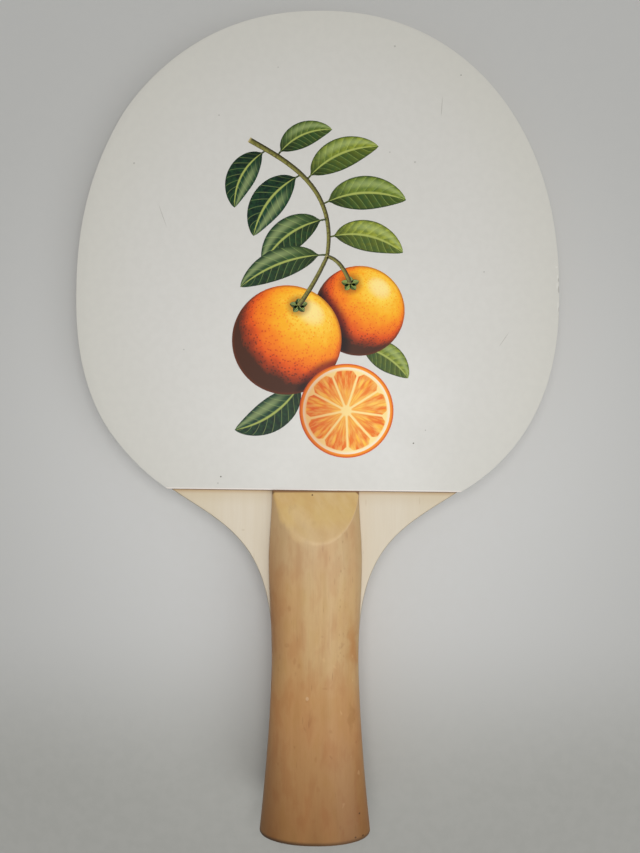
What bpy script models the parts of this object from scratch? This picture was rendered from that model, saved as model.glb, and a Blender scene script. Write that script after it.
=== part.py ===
"""Table tennis racket with a flared wooden handle.

The blade is a five-ply wooden panel whose narrow lower end is the tang of the handle. A shaped
wooden scale is glued on each side of the tang, and a foam pad under a thin smooth sheet covers
each side of the head. Nothing on it moves.

Lengths are in metres. The blade's middle plane is XY: +Y runs from the butt of the handle to the
tip of the head, +Z leaves the front face, and the origin is the centre of the flat butt end.
"""

import math

import bmesh
import bpy
import numpy as np

MM = 0.001

# Thicknesses, from the middle of the blade outwards
CORE_THICKNESS = 2.6 * MM
CROSSBAND_THICKNESS = 1.0 * MM
VENEER_THICKNESS = 0.6 * MM
FOAM_THICKNESS = 1.5 * MM
SHEET_THICKNESS = 0.4 * MM
GLUE_LINE = 0.05 * MM

# Handle, seen from the front
HANDLE_LENGTH = 103.3 * MM
BUTT_WIDTH = 34.0 * MM
WAIST_WIDTH = 26.6 * MM
SWELL_WIDTH = 28.6 * MM
END_WIDTH = 26.8 * MM
WAIST_FROM_BUTT = 52.0 * MM
SWELL_FROM_END = 21.3 * MM
FLARE_POWER = 1.6

# Handle scales, seen from the side: the rise is from the glued face to the crown
BUTT_RISE = 9.3 * MM
WAIST_RISE = 8.5 * MM
SWELL_RISE = 8.9 * MM
END_RISE = 8.7 * MM
SIDE_WALL = 1.0 * MM
CROWN_FULLNESS = 2.1
BUTT_ROUND = 1.0 * MM

# Thumb bevel at the upper end of each scale, which leaves the end just proud of the facing
BEVEL_ANGLE = math.radians(24.0)
BEVEL_STEP = 0.2 * MM

# Head of the blade: two half ovals that meet on its widest line. The lower one would close a
# little below the end of the handle, but the shoulders leave it before that.
HEAD_WIDTH = 149.4 * MM
WIDEST_FROM_HANDLE = 62.5 * MM
HEAD_ABOVE = 87.9 * MM
OVAL_PAST_HANDLE = 9.7 * MM
FULLNESS_ABOVE = 2.17
FULLNESS_BELOW = 2.37

# Shoulders: a curve that leaves the handle's side and ends tangent to the head
SHOULDER_LENGTH = 49.3 * MM
SHOULDER_LAP = 1.4 * MM
HANDLE_PULL = 35.2 * MM
HEAD_PULL = 21.2 * MM
EDGE_ROUND = 0.5 * MM
EDGE_FADE = 12.0 * MM

# Facings
FACING_GAP = 0.3 * MM
FACING_OVERHANG = 0.3 * MM

# Places along the racket
SWELL_Y = HANDLE_LENGTH - SWELL_FROM_END
NECK_Y = HANDLE_LENGTH - SHOULDER_LENGTH
FACING_Y = HANDLE_LENGTH + FACING_GAP
SHOULDER_TOP_Y = FACING_Y + SHOULDER_LAP
WIDEST_Y = HANDLE_LENGTH + WIDEST_FROM_HANDLE
HEAD_BELOW = WIDEST_FROM_HANDLE + OVAL_PAST_HANDLE

# Heights above the blade's middle plane
CROSSBAND_Z = CORE_THICKNESS / 2 + GLUE_LINE
VENEER_Z = CROSSBAND_Z + CROSSBAND_THICKNESS + GLUE_LINE
BLADE_FACE_Z = VENEER_Z + VENEER_THICKNESS
GLUED_Z = BLADE_FACE_Z + GLUE_LINE
SHEET_Z = GLUED_Z + FOAM_THICKNESS + GLUE_LINE
BEVEL_END_Z = SHEET_Z + SHEET_THICKNESS + BEVEL_STEP

# Fineness of the curves
BUTT_STEPS = 5
STATION_SPACING = 3.0 * MM
SHOULDER_STEPS = 20
LOWER_HEAD_STEPS = 16
UPPER_HEAD_STEPS = 34
CROWN_STEPS = 36
ROUND_STEPS = 3
TANGENT_STEP = 0.1 * MM
SHARP_ANGLE = math.radians(28.0)


def ease(t):
    """Runs smoothly from 0 to 1 as t does, level at both ends."""
    t = min(max(t, 0.0), 1.0)
    return t * t * (3.0 - 2.0 * t)


def along_handle(y, butt, waist, swell, end):
    """A size of the handle at y: flared at the butt, waisted, swollen, and drawn in at its end."""
    if y < WAIST_FROM_BUTT:
        return waist + (butt - waist) * (1.0 - y / WAIST_FROM_BUTT) ** FLARE_POWER
    if y < SWELL_Y:
        return waist + (swell - waist) * ease((y - WAIST_FROM_BUTT) / (SWELL_Y - WAIST_FROM_BUTT))
    return swell + (end - swell) * ease((y - SWELL_Y) / SWELL_FROM_END)


def handle_half_width(y):
    return along_handle(y, BUTT_WIDTH, WAIST_WIDTH, SWELL_WIDTH, END_WIDTH) / 2


def crown_rise(y):
    return along_handle(y, BUTT_RISE, WAIST_RISE, SWELL_RISE, END_RISE)


def handle_stations(last_y):
    """Places along the handle as (y, inset), where the inset rounds off the edge of the butt."""
    stations = []
    for step in range(BUTT_STEPS):
        turn = math.pi / 2 * step / BUTT_STEPS
        stations.append((BUTT_ROUND * (1.0 - math.cos(turn)), BUTT_ROUND * (1.0 - math.sin(turn))))
    count = round((last_y - BUTT_ROUND) / STATION_SPACING) + 1
    for y in np.linspace(BUTT_ROUND, last_y, count):
        stations.append((float(y), 0.0))
    return stations


def oval(turn, half_width, length, fullness):
    """A point on a half oval, from its widest line (turn 0) to its far end (turn 90 degrees)."""
    across = half_width * math.cos(turn) ** (2.0 / fullness)
    away = length * math.sin(turn) ** (2.0 / fullness)
    return across, away


def head_curve(start_y, grow):
    """Right side of the head from start_y to the tip, with the whole oval grown outwards."""
    half_width = HEAD_WIDTH / 2 + grow
    below = HEAD_BELOW + grow
    above = HEAD_ABOVE + grow
    first_turn = math.asin(((WIDEST_Y - start_y) / below) ** (FULLNESS_BELOW / 2))
    points = []
    for turn in np.linspace(first_turn, 0.0, LOWER_HEAD_STEPS + 1)[:-1]:
        x, away = oval(turn, half_width, below, FULLNESS_BELOW)
        points.append((x, WIDEST_Y - away))
    for turn in np.linspace(0.0, math.pi / 2, UPPER_HEAD_STEPS + 1)[:-1]:
        x, away = oval(turn, half_width, above, FULLNESS_ABOVE)
        points.append((x, WIDEST_Y + away))
    points.append((0.0, WIDEST_Y + above))
    return np.array(points)


def shoulder_curve():
    """Cubic curve from the handle's side at the neck to the head under the facing's cut edge."""
    start = np.array((handle_half_width(NECK_Y), NECK_Y))
    past = np.array((handle_half_width(NECK_Y + TANGENT_STEP), NECK_Y + TANGENT_STEP))
    end, beyond = head_curve(SHOULDER_TOP_Y, 0.0)[:2]
    leave = start + (past - start) / np.linalg.norm(past - start) * HANDLE_PULL
    arrive = end - (beyond - end) / np.linalg.norm(beyond - end) * HEAD_PULL
    t = np.linspace(0.0, 1.0, SHOULDER_STEPS + 1)[1:-1, None]
    return ((1 - t) ** 3 * start + 3 * (1 - t) ** 2 * t * leave
            + 3 * (1 - t) * t ** 2 * arrive + t ** 3 * end)


def mirrored_loop(right):
    """Closes a right-hand side, whose last point is the tip, with its mirror image."""
    left = right[-2::-1] * (-1.0, 1.0)
    return np.vstack((right, left))


def blade_loop():
    """Outline of every ply: butt, tang, shoulders and head."""
    tang = [(handle_half_width(y) - inset, y) for y, inset in handle_stations(NECK_Y)]
    return mirrored_loop(np.vstack((tang, shoulder_curve(), head_curve(SHOULDER_TOP_Y, 0.0))))


def drawn_in(loop, depth):
    """Moves each point of a loop inwards, fading out over the neck, where the scales sit flush."""
    ahead = np.roll(loop, -1, axis=0)
    behind = np.roll(loop, 1, axis=0)
    run = ahead - behind
    run /= np.linalg.norm(run, axis=1)[:, None]
    inwards = np.column_stack((-run[:, 1], run[:, 0]))
    share = np.array([ease((y - NECK_Y) / EDGE_FADE) for y in loop[:, 1]])
    return loop + inwards * (share * depth)[:, None]


def level(loop, z):
    return np.column_stack((loop, np.full(len(loop), z)))


def wood(name, colour, roughness):
    material = bpy.data.materials.new(name)
    material.use_nodes = True
    shader = material.node_tree.nodes["Principled BSDF"]
    shader.inputs["Base Color"].default_value = (*colour, 1.0)
    shader.inputs["Roughness"].default_value = roughness
    shader.inputs["Metallic"].default_value = 0.0
    return material


def loft(name, rings, material):
    """One closed body through rings of equal counts, with a flat cap at each end."""
    form = bmesh.new()
    vertex_rings = [[form.verts.new(point) for point in ring] for ring in rings]
    for lower, upper in zip(vertex_rings, vertex_rings[1:]):
        for i in range(len(lower)):
            form.faces.new((lower[i - 1], lower[i], upper[i], upper[i - 1]))
    form.faces.new(vertex_rings[0])
    form.faces.new(vertex_rings[-1])
    bmesh.ops.recalc_face_normals(form, faces=form.faces)
    mesh = bpy.data.meshes.new(name)
    form.to_mesh(mesh)
    form.free()
    mesh.shade_smooth()
    mesh.set_sharp_from_angle(angle=SHARP_ANGLE)
    mesh.materials.append(material)
    piece = bpy.data.objects.new(name, mesh)
    bpy.context.scene.collection.objects.link(piece)
    return piece


def flat_ply(name, side, inner_z, thickness, material):
    """A ply with a square edge. The side is +1 for the front of the blade and -1 for the back."""
    loop = blade_loop()
    return loft(name, [level(loop, side * inner_z), level(loop, side * (inner_z + thickness))], material)


def face_veneer(name, side, material):
    """The outer ply, whose edge is sanded round on the shoulders and the head."""
    loop = blade_loop()
    rings = [level(loop, side * VENEER_Z)]
    for step in range(ROUND_STEPS + 1):
        turn = math.pi / 2 * step / ROUND_STEPS
        inset = EDGE_ROUND * (1.0 - math.cos(turn))
        z = BLADE_FACE_Z - EDGE_ROUND * (1.0 - math.sin(turn))
        rings.append(level(drawn_in(loop, inset), side * z))
    return loft(name, rings, material)


def facing(name, side, inner_z, thickness, material):
    """A layer of the facing, cut straight across the top of the handle."""
    loop = mirrored_loop(head_curve(FACING_Y, FACING_OVERHANG))
    return loft(name, [level(loop, side * inner_z), level(loop, side * (inner_z + thickness))], material)


def scale_section(y, inset, side):
    """Section of a scale at y: flat glued face, short upright walls and an oval crown."""
    half_width = handle_half_width(y) - inset
    crown = crown_rise(y) - inset - SIDE_WALL
    points = [(half_width, y, side * GLUED_Z)]
    for turn in np.linspace(0.0, math.pi, CROWN_STEPS + 1):
        x = math.copysign(half_width * abs(math.cos(turn)) ** (2.0 / CROWN_FULLNESS), math.cos(turn))
        rise = SIDE_WALL + crown * abs(math.sin(turn)) ** (2.0 / CROWN_FULLNESS)
        points.append((x, y, side * (GLUED_Z + rise)))
    points.append((-half_width, y, side * GLUED_Z))
    return points


def thumb_bevel_cutter(name, side):
    """Wedge above the sloping flat that eases the scale down to the facing."""
    slope = math.tan(BEVEL_ANGLE)
    clear = BUTT_WIDTH
    low = (HANDLE_LENGTH + clear, BEVEL_END_Z - clear * slope)
    high = (HANDLE_LENGTH - clear, BEVEL_END_Z + clear * slope)
    corner = (low[0], high[1])
    rings = []
    for x in (-clear, clear):
        rings.append([(x, y, side * z) for y, z in (low, high, corner)])
    cutter = loft(name, rings, None)
    cutter.data.shade_flat()
    cutter.hide_render = True
    cutter.display_type = "WIRE"
    return cutter


def handle_scale(name, side, material):
    rings = [scale_section(y, inset, side) for y, inset in handle_stations(HANDLE_LENGTH)]
    scale = loft(name, rings, material)
    cut = scale.modifiers.new("thumb_bevel", "BOOLEAN")
    cut.operation = "DIFFERENCE"
    cut.object = thumb_bevel_cutter(name + "_bevel_cutter", side)
    return scale


for old in list(bpy.data.objects):
    bpy.data.objects.remove(old, do_unlink=True)

core_wood = wood("core_wood", (0.62, 0.47, 0.30), 0.65)
crossband_wood = wood("crossband_wood", (0.55, 0.40, 0.25), 0.65)
veneer_wood = wood("veneer_wood", (0.67, 0.56, 0.42), 0.55)
handle_wood = wood("handle_wood", (0.48, 0.29, 0.13), 0.50)
foam = wood("foam", (0.72, 0.70, 0.64), 0.90)
sheet = wood("sheet", (0.62, 0.61, 0.57), 0.40)

flat_ply("core_ply", 1, -CORE_THICKNESS / 2, CORE_THICKNESS, core_wood)
for face, side in (("front", 1), ("back", -1)):
    flat_ply(face + "_crossband", side, CROSSBAND_Z, CROSSBAND_THICKNESS, crossband_wood)
    face_veneer(face + "_face_veneer", side, veneer_wood)
    handle_scale(face + "_handle_scale", side, handle_wood)
    facing(face + "_foam", side, GLUED_Z, FOAM_THICKNESS, foam)
    facing(face + "_facing_sheet", side, SHEET_Z, SHEET_THICKNESS, sheet)
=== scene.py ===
"""Looks of a table tennis racket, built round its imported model.

The sections follow the racket as it is glued up: core ply, crossbands, face veneers, handle
scales, foam pads, facing sheets and the print. The floor, light and camera come last. Lengths are
in metres. +Y runs from the butt to the tip of the head and +Z leaves the front face.
"""

import math

import bmesh
import bpy
import numpy as np
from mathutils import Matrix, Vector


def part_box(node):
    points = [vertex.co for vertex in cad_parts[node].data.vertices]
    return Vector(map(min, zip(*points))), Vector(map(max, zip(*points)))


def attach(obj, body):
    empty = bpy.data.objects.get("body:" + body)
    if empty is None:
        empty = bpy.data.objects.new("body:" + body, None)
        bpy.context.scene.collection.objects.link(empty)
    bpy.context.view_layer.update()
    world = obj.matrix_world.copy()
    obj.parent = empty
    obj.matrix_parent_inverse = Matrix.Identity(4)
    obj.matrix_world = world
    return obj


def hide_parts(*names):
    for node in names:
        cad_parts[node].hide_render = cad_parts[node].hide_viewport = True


MM = 0.001

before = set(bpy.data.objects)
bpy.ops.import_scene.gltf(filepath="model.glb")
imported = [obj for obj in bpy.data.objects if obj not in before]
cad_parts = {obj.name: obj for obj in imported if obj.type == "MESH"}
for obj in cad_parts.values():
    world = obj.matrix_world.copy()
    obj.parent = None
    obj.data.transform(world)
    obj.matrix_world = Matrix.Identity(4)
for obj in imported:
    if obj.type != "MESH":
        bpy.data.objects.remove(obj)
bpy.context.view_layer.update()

# Core ply
# The middle of the blade, 2.6 mm of light wood with its grain along the racket. Its lower end is
# the tang between the handle scales. Only its sawn edge shows, all the way round.

HEAD_HALF_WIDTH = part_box("core_ply")[1].x
TIP_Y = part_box("core_ply")[1].y
HANDLE_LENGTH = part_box("front_handle_scale")[1].y
BUTT_WIDTH = 2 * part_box("front_handle_scale")[1].x
WAIST_WIDTH = 26.6 * MM
SWELL_WIDTH = 28.6 * MM
END_WIDTH = 26.8 * MM
WAIST_Y = 52.0 * MM
SWELL_Y = HANDLE_LENGTH - 21.3 * MM
FLARE_POWER = 1.6
BUTT_ROUND = 1.0 * MM
NECK_Y = HANDLE_LENGTH - 49.3 * MM
WIDEST_Y = HANDLE_LENGTH + 62.5 * MM
HEAD_BELOW = 72.2 * MM
FULLNESS_ABOVE = 2.17
FULLNESS_BELOW = 2.37
FACING_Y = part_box("front_foam")[0].y
SHOULDER_TOP_Y = FACING_Y + 1.4 * MM
HANDLE_PULL = 35.2 * MM
HEAD_PULL = 21.2 * MM
HEAD_CHORD = 1 / 16
TANGENT_STEP = 0.1 * MM
BROKEN_EDGE = 0.05 * MM
CORNER_STEPS = 8
TANG_ROWS = 70
SHOULDER_STEPS = 70
LOWER_HEAD_ROWS = 90
UPPER_HEAD_ROWS = 150
PLY_COLUMNS = 9
SHARP_ANGLE = math.radians(30)
MERGE_DISTANCE = 1e-7


def ease(t):
    """3t² − 2t³ on t held between 0 and 1, so it leaves 0 and reaches 1 level."""
    t = np.clip(t, 0.0, 1.0)
    return t * t * (3.0 - 2.0 * t)


def along_handle(y, butt, waist, swell, end):
    """A size of the handle at y: a power curve from butt to waist, then two eased steps."""
    flare = waist + (butt - waist) * np.clip(1.0 - y / WAIST_Y, 0.0, None) ** FLARE_POWER
    rise = waist + (swell - waist) * ease((y - WAIST_Y) / (SWELL_Y - WAIST_Y))
    draw_in = (end - swell) * ease((y - SWELL_Y) / (HANDLE_LENGTH - SWELL_Y))
    return np.where(y < WAIST_Y, flare, rise + draw_in)


def handle_half_width(y):
    """Half the handle's width at y."""
    return along_handle(y, BUTT_WIDTH, WAIST_WIDTH, SWELL_WIDTH, END_WIDTH) / 2


def head_side(turn, grow=0.0):
    """Right side of the head at a turn from −90° (lower end) over 0 (widest) to 90° (tip).

    Two half superellipses: x = a·cos^(2/n), y = widest line ± b·sin^(2/n), grown outwards.
    """
    upper = turn > 0
    fullness = np.where(upper, FULLNESS_ABOVE, FULLNESS_BELOW)
    reach = np.where(upper, TIP_Y - WIDEST_Y, HEAD_BELOW) + grow
    across = (HEAD_HALF_WIDTH + grow) * np.clip(np.cos(turn), 0.0, None) ** (2 / fullness)
    away = reach * np.abs(np.sin(turn)) ** (2 / fullness)
    return np.stack((across, WIDEST_Y + np.where(upper, away, -away)), axis=-1)


def turn_at(y, grow=0.0):
    """The turn of head_side at which its lower half passes y."""
    return -np.arcsin(((WIDEST_Y - y) / (HEAD_BELOW + grow)) ** (FULLNESS_BELOW / 2))


def butt_rows(steps):
    """(y, inset) of a quarter circle that rounds the corner of the butt."""
    turn = np.linspace(0.0, math.pi / 2, steps + 1)[:-1]
    return BUTT_ROUND * (1.0 - np.cos(turn)), BUTT_ROUND * (1.0 - np.sin(turn))


def bezier(points, t):
    """Places at t on a Bezier curve: its control points are mixed in pairs until one is left."""
    mixed = list(points)
    while len(mixed) > 1:
        mixed = [first + (second - first) * t[:, None] for first, second in zip(mixed, mixed[1:])]
    return mixed[0]


def shoulder_side():
    """Bezier curve of four points that leaves along the handle's side, arrives along the head's."""
    start = np.array((handle_half_width(NECK_Y), NECK_Y))
    past = np.array((handle_half_width(NECK_Y + TANGENT_STEP), NECK_Y + TANGENT_STEP))
    first_turn = turn_at(SHOULDER_TOP_Y)
    end, beyond = head_side(np.array((first_turn, first_turn * (1.0 - HEAD_CHORD))))
    leave = start + (past - start) / np.linalg.norm(past - start) * HANDLE_PULL
    arrive = end - (beyond - end) / np.linalg.norm(beyond - end) * HEAD_PULL
    return bezier((start, leave, arrive, end), np.linspace(0.0, 1.0, SHOULDER_STEPS + 1)[1:-1])


def blade_side():
    """Right side of every ply: butt corner, tang, shoulder and head, from the butt to the tip."""
    corner_y, inset = butt_rows(CORNER_STEPS)
    y = np.concatenate((corner_y, np.linspace(BUTT_ROUND, NECK_Y, TANG_ROWS)))
    x = handle_half_width(y)
    x[:len(inset)] -= inset
    lower = np.linspace(turn_at(SHOULDER_TOP_Y), 0.0, LOWER_HEAD_ROWS)
    upper = np.linspace(0.0, math.pi / 2, UPPER_HEAD_ROWS)[1:]
    head = head_side(np.concatenate((lower, upper)))
    return np.vstack((np.column_stack((x, y)), shoulder_side(), head))


def right_of(path):
    """Unit normals on the right of a path, from the central differences of its points."""
    run = np.gradient(path, axis=0)
    normal = np.column_stack((run[:, 1], -run[:, 0]))
    return normal / np.linalg.norm(normal, axis=1)[:, None]


def outward(side, hand):
    """Unit normals of one side of the outline, straight up where it ends at the tip."""
    normal = hand * right_of(side)
    normal[-1] = (0.0, 1.0)
    return normal


def plate_rings(right, left, inset, height, columns):
    """A closed ring of points for each row of a plate between two side paths.

    The edge profile, given row by row as distances in from the path and heights, is carried along
    both sides. Its first point bounds the upper face and its last point the lower one, and each
    face is ruled straight across between the two sides.
    """
    rows = len(right)
    inset = np.broadcast_to(inset, (rows, inset.shape[-1]))
    height = np.broadcast_to(height, inset.shape)
    right_edge = right[:, None] - inset[..., None] * outward(right, 1)[:, None]
    left_edge = left[:, None] - inset[..., None] * outward(left, -1)[:, None]
    share = np.linspace(0.0, 1.0, columns)[None, :, None]
    upper = left_edge[:, :1] * (1 - share) + right_edge[:, :1] * share
    lower = right_edge[:, -1:] * (1 - share) + left_edge[:, -1:] * share
    plan = np.concatenate((upper, right_edge[:, 1:-1], lower, left_edge[:, -2:0:-1]), axis=1)
    level = np.concatenate((
        np.repeat(height[:, :1], columns, axis=1), height[:, 1:-1],
        np.repeat(height[:, -1:], columns, axis=1), height[:, -2:0:-1]), axis=1)
    return np.concatenate((plan, level[..., None]), axis=2)


def skin(name, *forms, marks=()):
    """A closed mesh through each grid of rings, flat across its first ring and its last one.

    Marks hold three numbers for each point, which a material reads as the attribute film.
    """
    faces = []
    start = 0
    for rings in forms:
        rows, count = rings.shape[:2]
        number = start + np.arange(rows * count).reshape(rows, count)
        here = np.stack((number, np.roll(number, -1, axis=1)), axis=-1)
        quads = np.concatenate((here[:-1], here[1:, :, ::-1]), axis=-1)
        faces += quads.reshape(-1, 4).tolist() + [number[0].tolist(), number[-1].tolist()]
        start += rows * count
    mesh = bpy.data.meshes.new(name)
    mesh.from_pydata(np.concatenate([rings.reshape(-1, 3) for rings in forms]).tolist(), [], faces)
    if marks:
        values = np.concatenate([mark.reshape(-1, 3) for mark in marks])
        attribute = mesh.attributes.new("film", "FLOAT_VECTOR", "POINT")
        attribute.data.foreach_set("vector", values.astype(np.float32).ravel())
    form = bmesh.new()
    form.from_mesh(mesh)
    bmesh.ops.remove_doubles(form, verts=form.verts, dist=MERGE_DISTANCE)
    bmesh.ops.dissolve_degenerate(form, edges=form.edges, dist=MERGE_DISTANCE)
    bmesh.ops.recalc_face_normals(form, faces=form.faces)
    form.to_mesh(mesh)
    form.free()
    mesh.shade_smooth()
    mesh.set_sharp_from_angle(angle=SHARP_ANGLE)
    return mesh


def new_object(mesh, material):
    """A finished mesh as an object of the same name, in its material."""
    made = bpy.data.objects.new(mesh.name, mesh)
    bpy.context.scene.collection.objects.link(made)
    mesh.materials.append(material)
    return made


def glue_in(mesh, material, node):
    """Puts a finished piece into the racket in place of its plain solid."""
    piece = new_object(mesh, material)
    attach(piece, "root")
    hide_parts(node)


def ink(red, green, blue):
    """A colour as it looks on a screen, 0 to 255 a channel, in linear light."""
    shown = np.array((red, green, blue)) / 255
    light = np.where(shown < 0.04045, shown / 12.92, ((shown + 0.055) / 1.055) ** 2.4)
    return (*light.tolist(), 1.0)


def add(kind, inputs, **settings):
    """Adds a shader node to the tree of the sockets that feed it.

    Its settings are made first. Then its inputs, by their names or numbers, are set or linked.
    """
    tree = next(given.id_data for given in inputs.values() if isinstance(given, bpy.types.NodeSocket))
    made = tree.nodes.new(kind)
    for key, setting in settings.items():
        setattr(made, key, setting)
    for key, given in inputs.items():
        if isinstance(given, bpy.types.NodeSocket):
            tree.links.new(given, made.inputs[key])
        else:
            made.inputs[key].default_value = given
    return made


def feed(node, label, socket):
    """Links a socket to an input of a node."""
    node.id_data.links.new(socket, node.inputs[label])


def maths(operation, *terms):
    """One step of arithmetic on numbers or sockets."""
    return add("ShaderNodeMath", dict(enumerate(terms)), operation=operation).outputs[0]


def times(first, *others):
    """The product of numbers or sockets."""
    product = first
    for other in others:
        product = maths("MULTIPLY", product, other)
    return product


def plus(first, second):
    """The sum of two numbers or sockets."""
    return maths("ADD", first, second)


def minus(first, second):
    """The difference of two numbers or sockets."""
    return maths("SUBTRACT", first, second)


def vector_maths(operation, *terms):
    """One step of arithmetic on vectors or sockets, with a vector as its result."""
    return add("ShaderNodeVectorMath", dict(enumerate(terms)), operation=operation).outputs[0]


def length_of(vector):
    """The length of a vector."""
    return add("ShaderNodeVectorMath", {0: vector}, operation="LENGTH").outputs["Value"]


def squeezed(vector, across, along, through):
    """A vector with each of its directions scaled."""
    return vector_maths("MULTIPLY", vector, (across, along, through))


def turned_by(vector, degrees):
    """A vector turned about Z."""
    inputs = {"Vector": vector, "Rotation": (0.0, 0.0, math.radians(degrees))}
    return add("ShaderNodeMapping", inputs).outputs[0]


def fade(amount, low, high, start=0.0, stop=1.0):
    """A smooth step from start to stop as the amount goes from low to high."""
    inputs = {"Value": amount, "From Min": low, "From Max": high, "To Min": start, "To Max": stop}
    return add("ShaderNodeMapRange", inputs, interpolation_type="SMOOTHSTEP").outputs[0]


def band(amount, start, full, still, end, share=1.0):
    """A share that rises from start to full, stays till still, and is gone at end."""
    return times(fade(amount, start, full), fade(amount, still, end, share, 0.0))


def tint(share, under, over, way="MIX"):
    """Mixes two colours, one over the other by a share."""
    inputs = {0: share, 6: under, 7: over}
    return add("ShaderNodeMix", inputs, data_type="RGBA", blend_type=way).outputs[2]


def layered(colour, *layers):
    """A colour under a row of layers: each one's share, its colour and, if not MIX, its way."""
    for share, over, *way in layers:
        colour = tint(share, colour, over, *way)
    return colour


def noise(vector, scale, detail=2.0, roughness=0.5):
    """Fractal noise on a vector, from 0 to 1."""
    inputs = {"Vector": vector, "Scale": scale, "Detail": detail, "Roughness": roughness}
    return add("ShaderNodeTexNoise", inputs).outputs["Fac"]


def drift(vector, scale, detail=2.0):
    """A vector of noise, each part of which wanders between −0.5 and 0.5."""
    noisy = add("ShaderNodeTexNoise", {"Vector": vector, "Scale": scale, "Detail": detail})
    return vector_maths("SUBTRACT", noisy.outputs["Color"], (0.5, 0.5, 0.5))


def cells(vector, scale):
    """Cells round scattered points, with the distance to the nearest point and a colour for each."""
    return add("ShaderNodeTexVoronoi", {"Vector": vector, "Scale": scale}).outputs


def number_of(cell):
    """A number from 0 to 1 for each cell, out of its colour."""
    return add("ShaderNodeSeparateColor", {0: cell["Color"]}).outputs["Red"]


def bumped(height, strength, distance):
    """The normal of a surface that is raised by a height."""
    inputs = {"Strength": strength, "Distance": distance, "Height": height}
    return add("ShaderNodeBump", inputs).outputs[0]


def new_group(name, inputs, outputs):
    """An empty shader node group, its inputs with their own values, and its sockets inside."""
    group = bpy.data.node_groups.new(name, "ShaderNodeTree")
    for label, value in inputs.items():
        kind = "NodeSocketVector" if isinstance(value, tuple) else "NodeSocketFloat"
        socket = group.interface.new_socket(label, in_out="INPUT", socket_type=kind)
        socket.default_value = value
    for label in outputs:
        group.interface.new_socket(label, in_out="OUTPUT", socket_type="NodeSocketFloat")
    return group, group.nodes.new("NodeGroupInput").outputs, group.nodes.new("NodeGroupOutput")


def wood_figure():
    """Group: the figure of solid wood whose fibres run along Y, for plank, veneer and ply edge.

    Growth rings are distances from a pith line along Y, bent by slow noise, with a slow rise and a
    quick fall in each ring. Fibres are noise drawn out 20 and 40 times along Y. Pores are short
    dashes at the cell centres of a texture drawn out 9 times. Clouds are broad, soft patches.
    """
    group, given, result = new_group(
        "wood_figure",
        {"Vector": (0.0, 0.0, 0.0), "Pith": (0.0, 0.0, 0.0), "Ring Width": 3 * MM, "Wander": 2 * MM,
         "Pore Share": 0.3},
        ("Rings", "Fibres", "Pores", "Clouds"))
    place = given["Vector"]
    swing = {0: drift(squeezed(place, 1, 0.16, 1), 70.0), "Scale": given["Wander"]}
    bend = add("ShaderNodeVectorMath", swing, operation="SCALE").outputs[0]
    bent = vector_maths("ADD", vector_maths("SUBTRACT", place, given["Pith"]), bend)
    radius = length_of(squeezed(bent, 1, 0, 1))
    phase = maths("FRACT", maths("DIVIDE", radius, given["Ring Width"]))
    feed(result, "Rings", band(phase, 0.15, 0.86, 0.9, 1.0))
    coarse = noise(squeezed(place, 1, 0.025, 1), 3600.0, 2.0, 0.6)
    fine = noise(squeezed(place, 1, 0.05, 1), 1300.0, 3.0, 0.55)
    feed(result, "Fibres", times(plus(coarse, fine), 0.5))
    dashes = cells(squeezed(place, 1, 0.11, 1), 1150.0)
    chosen = maths("LESS_THAN", number_of(dashes), given["Pore Share"])
    feed(result, "Pores", times(fade(dashes["Distance"], 0.1, 0.2, 1.0, 0.0), chosen))
    feed(result, "Clouds", noise(squeezed(place, 1, 0.4, 1), 90.0))
    return group


WOOD_FIGURE = wood_figure()


def figure_in(place, pith, ring_width, wander, pore_share):
    """Rings, fibres, pores and clouds of the wood of one piece."""
    inputs = {"Vector": place, "Pith": pith, "Ring Width": ring_width, "Wander": wander,
              "Pore Share": pore_share}
    return add("ShaderNodeGroup", inputs, node_tree=WOOD_FIGURE).outputs


def shader_of(name, roughness=0.5):
    """A new material, its shader and the object coordinates in it."""
    material = bpy.data.materials.new(name)
    material.use_nodes = True
    nodes = material.node_tree.nodes
    shader = nodes["Principled BSDF"]
    shader.inputs["Roughness"].default_value = roughness
    return material, shader, nodes.new("ShaderNodeTexCoord").outputs["Object"]


def ply_wood(name, pale, dark, ring_width, turned):
    """Bare ply: its rings, fibres and pores cut across wherever the edge crosses them."""
    material, shader, place = shader_of(name, 0.72)
    if turned:
        place = turned_by(place, 90)
    rings, fibres, pores = figure_in(place, (0.03, 0.0, -0.11), ring_width, 3 * MM, 0.35)[:3]
    wood = layered(pale, (times(rings, 0.6), dark), (fade(fibres, 0.35, 0.62, 0.45, 0.0), dark),
                   (times(pores, 0.6), ink(96, 68, 44)))
    feed(shader, "Base Color", wood)
    feed(shader, "Normal", bumped(minus(fibres, pores), 0.5, 0.06 * MM))
    return material


def flat_ply_mesh(name, low, high, side):
    """A ply with a square edge whose sawn corners are barely broken."""
    inset = np.array((BROKEN_EDGE, 0.0, 0.0, BROKEN_EDGE))
    height = side * np.array((high, high - BROKEN_EDGE, low + BROKEN_EDGE, low))
    right = blade_side()
    return skin(name, plate_rings(right, right * (-1, 1), inset, height, PLY_COLUMNS))


core_low, core_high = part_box("core_ply")
core_mesh = flat_ply_mesh("core_ply_wood", core_low.z, core_high.z, 1)
core_material = ply_wood("core_wood", ink(206, 182, 146), ink(176, 142, 98), 2.2 * MM, False)
glue_in(core_mesh, core_material, "core_ply")

# Crossbands
# A 1 mm ply on each side of the core, glued with its grain across the blade to stop it warping.
# On the edge of the head its fibres show end on where the core's lie flat, and the reverse.


def both_faces(part):
    """The front and back nodes of a part: name, side of the core, height nearest it and furthest."""
    for face, side in (("front", 1), ("back", -1)):
        node = face + part
        low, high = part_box(node)
        inner, outer = sorted((abs(low.z), abs(high.z)))
        yield node, side, inner, outer


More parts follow.
